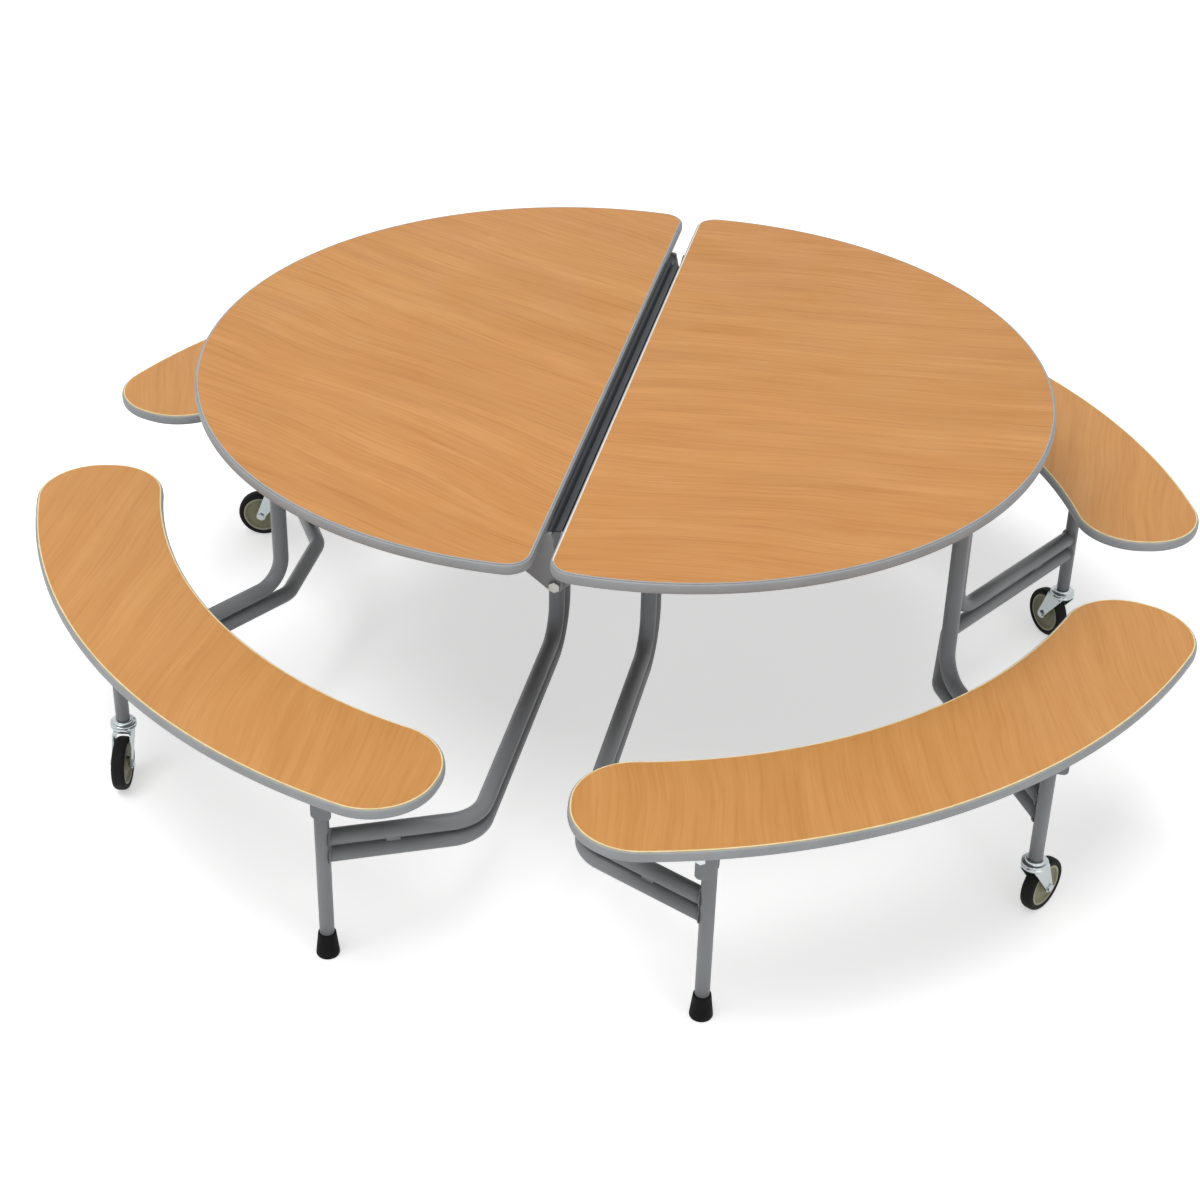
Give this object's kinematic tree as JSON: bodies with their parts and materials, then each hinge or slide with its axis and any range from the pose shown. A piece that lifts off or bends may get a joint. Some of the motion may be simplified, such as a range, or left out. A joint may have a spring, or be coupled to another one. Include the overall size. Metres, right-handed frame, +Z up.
{
  "type": "folding cafeteria table with benches",
  "caption": "Folding cafeteria table: split rounded wood-grain top on bent grey tube frames with curved benches, rubber feet and swivel casters; halves fold upright about a centre hinge.",
  "frame": {"origin": "on the floor under the middle of the slot between the two tops", "axes": "+X across the slot to the right, +Y along the slot away from the viewer, +Z up"},
  "size_m": [2.106, 1.9754, 0.737],
  "materials": {
    "laminate": "satin wood-grain laminate",
    "edging": "moulded grey edge strip",
    "powder_coat": "grey powder coat on steel tube",
    "zinc": "bright zinc plate",
    "rubber": "moulded rubber",
    "tyre": "grey-black tread",
    "hub": "moulded olive-grey plastic"
  },
  "bodies": {
    "left_inner_frame": {"left_inner_upper_tube": "powder_coat", "left_inner_lower_tube": "powder_coat", "front_left_foot_post": "powder_coat", "front_left_ferrule": "rubber", "back_left_foot_post": "powder_coat", "back_left_ferrule": "rubber"},
    "left_top": {"left_top_board": "laminate", "left_top_edging": "edging", "left_slot_rail": "powder_coat", "left_inner_strap": "powder_coat", "left_outer_strap": "powder_coat", "front_hinge_bolt": "zinc", "back_hinge_bolt": "zinc"},
    "left_outer_frame": {"left_outer_hoop": "powder_coat", "left_outer_stretcher": "powder_coat", "front_left_caster_post": "powder_coat", "back_left_caster_post": "powder_coat"},
    "front_left_bench": {"front_left_bench_board": "laminate", "front_left_bench_edging": "edging", "front_left_inner_hanger": "powder_coat", "front_left_outer_hanger": "powder_coat"},
    "front_left_fork": {"front_left_caster_fork": "zinc"},
    "front_left_wheel": {"front_left_caster_hub": "hub", "front_left_caster_tyre": "tyre"},
    "back_left_bench": {"back_left_bench_board": "laminate", "back_left_bench_edging": "edging", "back_left_inner_hanger": "powder_coat", "back_left_outer_hanger": "powder_coat"},
    "back_left_fork": {"back_left_caster_fork": "zinc"},
    "back_left_wheel": {"back_left_caster_hub": "hub", "back_left_caster_tyre": "tyre"},
    "right_inner_frame": {"right_inner_upper_tube": "powder_coat", "right_inner_lower_tube": "powder_coat", "front_right_foot_post": "powder_coat", "front_right_ferrule": "rubber", "back_right_foot_post": "powder_coat", "back_right_ferrule": "rubber"},
    "right_top": {"right_top_board": "laminate", "right_top_edging": "edging", "right_slot_rail": "powder_coat", "right_inner_strap": "powder_coat", "right_outer_strap": "powder_coat"},
    "right_outer_frame": {"right_outer_hoop": "powder_coat", "right_outer_stretcher": "powder_coat", "front_right_caster_post": "powder_coat", "back_right_caster_post": "powder_coat"},
    "front_right_bench": {"front_right_bench_board": "laminate", "front_right_bench_edging": "edging", "front_right_inner_hanger": "powder_coat", "front_right_outer_hanger": "powder_coat"},
    "front_right_fork": {"front_right_caster_fork": "zinc"},
    "front_right_wheel": {"front_right_caster_hub": "hub", "front_right_caster_tyre": "tyre"},
    "back_right_bench": {"back_right_bench_board": "laminate", "back_right_bench_edging": "edging", "back_right_inner_hanger": "powder_coat", "back_right_outer_hanger": "powder_coat"},
    "back_right_fork": {"back_right_caster_fork": "zinc"},
    "back_right_wheel": {"back_right_caster_hub": "hub", "back_right_caster_tyre": "tyre"}
  },
  "joints": [
    {"name": "fold", "type": "hinge", "parent": "left_inner_frame", "child": "left_top", "pos_m": [-0.086, 0, 0.69], "axis": [0, -1, 0], "range_deg": [0, 90]},
    {"name": "centre_hinge", "type": "hinge", "parent": "left_top", "child": "right_top", "pos_m": [0, 0, 0.62], "axis": [0, 1, 0], "range_deg": [0, 180]},
    {"name": "right_inner_pivot", "type": "hinge", "parent": "right_top", "child": "right_inner_frame", "pos_m": [0.086, 0, 0.69], "axis": [0, -1, 0], "range_deg": [0, 90]},
    {"name": "left_outer_pivot", "type": "hinge", "parent": "left_top", "child": "left_outer_frame", "pos_m": [-0.632, 0, 0.69], "axis": [0, 1, 0], "range_deg": [0, 90]},
    {"name": "right_outer_pivot", "type": "hinge", "parent": "right_top", "child": "right_outer_frame", "pos_m": [0.632, 0, 0.69], "axis": [0, -1, 0], "range_deg": [0, 90]},
    {"name": "front_left_bench_pivot", "type": "hinge", "parent": "left_inner_frame", "child": "front_left_bench", "pos_m": [-0.309, -0.822, 0.345], "axis": [0, -1, 0], "range_deg": [0, 90]},
    {"name": "back_left_bench_pivot", "type": "hinge", "parent": "left_inner_frame", "child": "back_left_bench", "pos_m": [-0.309, 0.822, 0.345], "axis": [0, -1, 0], "range_deg": [0, 90]},
    {"name": "front_right_bench_pivot", "type": "hinge", "parent": "right_inner_frame", "child": "front_right_bench", "pos_m": [0.309, -0.822, 0.345], "axis": [0, 1, 0], "range_deg": [0, 90]},
    {"name": "back_right_bench_pivot", "type": "hinge", "parent": "right_inner_frame", "child": "back_right_bench", "pos_m": [0.309, 0.822, 0.345], "axis": [0, 1, 0], "range_deg": [0, 90]},
    {"name": "front_left_swivel", "type": "hinge", "parent": "left_outer_frame", "child": "front_left_fork", "pos_m": [-0.833, -0.437, 0.127], "axis": [0, 0, 1], "continuous": true},
    {"name": "front_left_roll", "type": "hinge", "parent": "front_left_fork", "child": "front_left_wheel", "pos_m": [-0.8271, -0.47048, 0.05], "axis": [0.9848, 0.1736, 0], "continuous": true},
    {"name": "back_left_swivel", "type": "hinge", "parent": "left_outer_frame", "child": "back_left_fork", "pos_m": [-0.833, 0.437, 0.127], "axis": [0, 0, 1], "continuous": true},
    {"name": "back_left_roll", "type": "hinge", "parent": "back_left_fork", "child": "back_left_wheel", "pos_m": [-0.86667, 0.43227, 0.05], "axis": [0.1392, -0.9903, 0], "continuous": true},
    {"name": "front_right_swivel", "type": "hinge", "parent": "right_outer_frame", "child": "front_right_fork", "pos_m": [0.833, -0.437, 0.127], "axis": [0, 0, 1], "continuous": true},
    {"name": "front_right_roll", "type": "hinge", "parent": "front_right_fork", "child": "front_right_wheel", "pos_m": [0.85, -0.40756, 0.05], "axis": [-0.866, 0.5, 0], "continuous": true},
    {"name": "back_right_swivel", "type": "hinge", "parent": "right_outer_frame", "child": "back_right_fork", "pos_m": [0.833, 0.437, 0.127], "axis": [0, 0, 1], "continuous": true},
    {"name": "back_right_roll", "type": "hinge", "parent": "back_right_fork", "child": "back_right_wheel", "pos_m": [0.81115, 0.46305, 0.05], "axis": [-0.766, -0.6428, 0], "continuous": true}
  ],
  "couplings": [
    {"joint": "centre_hinge", "follows": "fold", "ratio": 2},
    {"joint": "right_inner_pivot", "follows": "fold", "ratio": 1},
    {"joint": "left_outer_pivot", "follows": "fold", "ratio": 1},
    {"joint": "right_outer_pivot", "follows": "fold", "ratio": 1},
    {"joint": "front_left_bench_pivot", "follows": "fold", "ratio": 1},
    {"joint": "back_left_bench_pivot", "follows": "fold", "ratio": 1},
    {"joint": "front_right_bench_pivot", "follows": "fold", "ratio": 1},
    {"joint": "back_right_bench_pivot", "follows": "fold", "ratio": 1}
  ]
}
